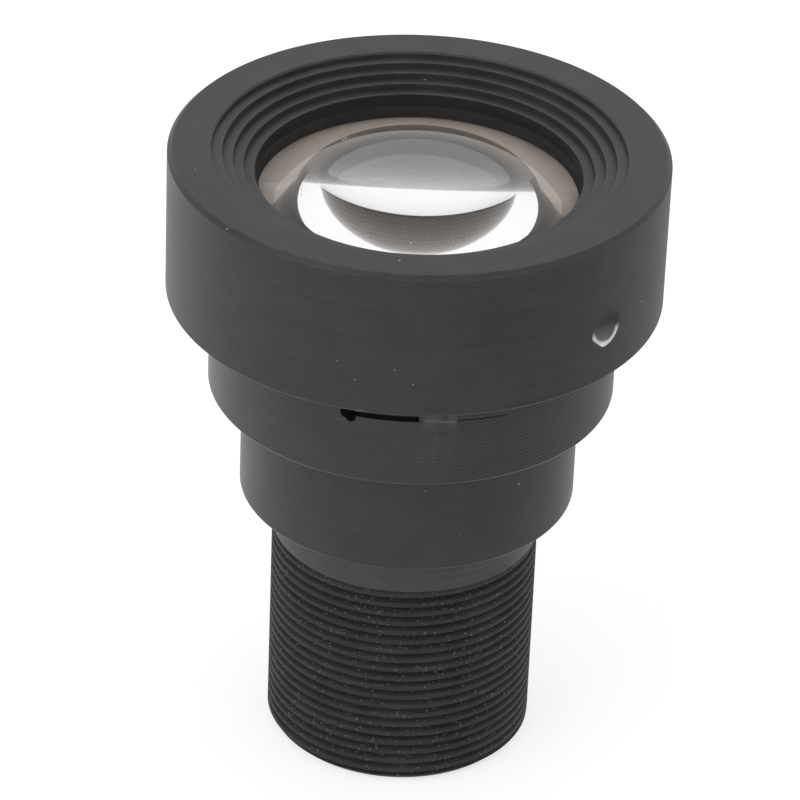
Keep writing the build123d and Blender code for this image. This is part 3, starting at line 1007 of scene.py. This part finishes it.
flint_vertex = doublet_seat + sphere_drop(flint_curve, flint_clear)
joint_vertex = flint_vertex + flint_middle
element(
    "crown_glass_element", "doublet_crown", crown_glass, doublet_radius, (crown_top, joint_vertex),
    crown_curves, (crown_clear, doublet_radius),
)
element(
    "flint_glass_element", "doublet_flint", flint_glass, doublet_radius,
    (joint_vertex - cement_gap, flint_vertex), (crown_curves[1], flint_curve),
    (doublet_radius, flint_clear),
)

# %% The rear group
_, rear_flint_low, _ = box_mm("rear_flint")
_, _, rear_crown_top = box_mm("rear_crown")
rear_flint_curve = -30.0
rear_joint_curve = -16.0
rear_flint_middle = 0.9
rear_crown_curve = 10.0
negative_curves = (-9.0, 14.0)
negative_clear = rear_radius - 1.0
negative_bottom = negative_seat + sphere_drop(negative_curves[1], negative_clear)
negative_top = web_low + sphere_drop(negative_curves[0], negative_clear)
rear_joint = rear_flint_low + rear_flint_middle
rear_clear = rear_radius - 0.6
element(
    "rear_flint_glass", "rear_flint", flint_glass, rear_radius, (rear_joint - cement_gap, rear_flint_low),
    (rear_joint_curve, rear_flint_curve), (rear_radius, rear_clear),
)
element(
    "rear_crown_glass", "rear_crown", crown_glass, rear_radius, (rear_crown_top, rear_joint),
    (rear_crown_curve, rear_joint_curve), (rear_clear, rear_radius),
)
element(
    "rear_negative_glass", "rear_negative_element", flint_glass, rear_radius,
    (negative_top, negative_bottom), negative_curves, (negative_clear, negative_clear),
)

# %% [markdown]
# ## Dust on the front glass
# A few pale grains lie on the polished dome: a loose cluster, a pair and one alone. Dust written into
# the glass's own material would change how it lets light through, so each grain is a small flattened
# octahedron, partly sunk in the surface, and all of them are one mesh made in one go.

# %% Dust grains
# Each cluster has its azimuth, its distance from the axis, its spread and its number of grains
clusters = ((-126.0, 4.05, 0.17, 10), (-42.0, 2.45, 0.07, 3), (-2.4, 5.57, 0.0, 1))
smallest, largest, flatness, lift = 0.026, 0.046, 0.6, 0.3
draw = np.random.default_rng(7)
middles = np.vstack([
    (radius * np.sin(np.radians(azimuth)), -radius * np.cos(np.radians(azimuth)))
    + draw.normal(0.0, 1.0, (count, 2)) * (spread * 1.6, spread * 0.7)
    for azimuth, radius, spread, count in clusters
])
sizes = draw.uniform(smallest, largest, (len(middles), 1, 1))
dome = front_top - contact_gap - sphere_drop(front_curves[0], np.hypot(middles[:, 0], middles[:, 1]))
grain_middles = np.column_stack([middles, dome])[:, None, :] + sizes * (0.0, 0.0, lift)
octahedron = np.array([(1, 0, 0), (0, 1, 0), (-1, 0, 0), (0, -1, 0), (0, 0, flatness), (0, 0, -flatness)])
corners = [(0, 1, 4), (1, 2, 4), (2, 3, 4), (3, 0, 4), (1, 0, 5), (2, 1, 5), (3, 2, 5), (0, 3, 5)]
dust_mesh = bpy.data.meshes.new("dust_grains")
dust_mesh.from_pydata(
    ((grain_middles + sizes * octahedron) * MM).reshape(-1, 3), [],
    (np.arange(len(middles))[:, None, None] * len(octahedron) + np.array(corners)).reshape(-1, 3),
)
dust_mesh.materials.append(pale_dust)
dust_grains = placed("dust_grains", dust_mesh)
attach(dust_grains, "root")
print("dust grains:", len(middles))

# %% [markdown]
# ## The pieces that keep their frame shape
# Spacers, stop, baffle tube, rear ring and screw are right as they are, and get their finishes.

# %% Finish the frame's own pieces
finishes = {
    "second_spacer": anodised_inside, "stop_spacer": anodised_inside, "baffle_tube": anodised_inside,
    "rear_spacer": anodised_inside, "rear_retaining_ring": anodised_barrel,
    "aperture_stop": stop_black, "lock_screw": screw_dark, "lock_screw_sealant": sealant_painted_light,
}
for name, material in finishes.items():
    nodes[name].data.materials.clear()
    nodes[name].data.materials.append(material)
print("kept nodes:", sorted(finishes))

# %% [markdown]
# ## Floor, light and camera
# The lens stands on a white sweep in an evenly lit white tent, with one soft lamp from the left. Both
# are white to the camera and in reflections, and the floor keeps the soft shadow round the threaded
# end. Its glow is painted darker on its right side for what mirrors it, as a black card there would
# make it, and that painted shade darkens the right side of each wall.

# %% The floor


def seen_white(tree):
    """The Light Path node, and 1 for the camera, for mirrors and through glass, or else 0."""
    path = tree.nodes.new("ShaderNodeLightPath")
    passed = maths(tree, "MAXIMUM", path.outputs["Is Glossy Ray"], path.outputs["Is Transmission Ray"])
    return path, maths(tree, "MAXIMUM", path.outputs["Is Camera Ray"], passed)


floor_half, floor_level = 600.0, -0.01
paper_grey = (0.55, 0.55, 0.55)
floor_glow, glow_loss = 0.66, 0.36
shade_starts, shade_ends = 2.0, 34.0
floor_line = np.linspace(-floor_half, floor_half, 3)
floor_points = np.stack(np.meshgrid(floor_line, floor_line, floor_level, indexing="ij"), axis=-1)
floor_mesh = bpy.data.meshes.new("floor")
floor_mesh.from_pydata(floor_points.reshape(-1, 3) * MM, [], grid_quads(3, 3)[:, ::-1])
placed("floor", floor_mesh)
floor_paper, tree, shader, coordinate = empty_material("floor_paper")
fill(tree, shader, Base_Color=paper_grey, Roughness=0.9, Specular_IOR_Level=0.0, Emission_Color=white)
light_path, seen = seen_white(tree)
# Painted shade: to mirrors, the floor's glow falls off towards its right side
side = node(tree, "SeparateXYZ", Vector=in_mm(tree, coordinate))["X"]
right_share = ramped(tree, side, shade_starts, shade_ends)
shaded = times(tree, right_share, light_path.outputs["Is Glossy Ray"])
strength = maths(tree, "MULTIPLY_ADD", shaded, -glow_loss, floor_glow)
fill(tree, shader, Emission_Strength=times(tree, seen, strength))
floor_paper.cycles.emission_sampling = "NONE"
floor_mesh.materials.append(floor_paper)
print("floor normal up:", floor_mesh.polygons[0].normal.z > 0)

# %% The white tent
tent_light = 0.74
world = bpy.data.worlds.new("white_tent")
world.use_nodes = True
scene.world = world
tree = world.node_tree
_, seen = seen_white(tree)
strength = maths(tree, "MULTIPLY_ADD", seen, 1.0 - tent_light, tent_light)
fill(tree, tree.nodes["Background"], Color=white, Strength=strength)
world.cycles.sampling_method = "NONE"

# %% A soft lamp from the left
lens_middle = Vector((0, 0, 0.015))
lamp = bpy.data.lights.new("left_lamp", "AREA")
lamp.size = 0.5
lamp.energy = 0.8
lamp.color = (0.96, 0.98, 1.0)
lamp_holder = placed("left_lamp", lamp)
lamp_holder.location = (-0.45, -0.35, 0.55)
lamp_aim = lens_middle - lamp_holder.location
lamp_holder.rotation_euler = lamp_aim.to_track_quat("-Z", "Y").to_euler()

# %% The camera
camera_distance = 219.56 * MM
camera_elevation = 31.71
camera_roll = 2.315
camera_aim = Vector((-0.4323, 0, 16.602)) * MM
camera_data = bpy.data.cameras.new("camera")
camera_data.lens = 221.79
camera_data.sensor_width = 36.0
camera_data.clip_start = 0.01
camera_data.clip_end = 10.0
camera = placed("camera", camera_data)
tilt = Matrix.Rotation(np.radians(90 - camera_elevation), 4, "X")
roll = Matrix.Rotation(np.radians(camera_roll), 4, "Z")
away_from_aim = Matrix.Translation((0, 0, camera_distance))
camera.matrix_world = Matrix.Translation(camera_aim) @ tilt @ roll @ away_from_aim
scene.camera = camera

# %% Colour management, and bounces enough for a stack of glass
scene.view_settings.view_transform = "Standard"
scene.cycles.max_bounces = 24
scene.cycles.transmission_bounces = 24
scene.cycles.glossy_bounces = 12
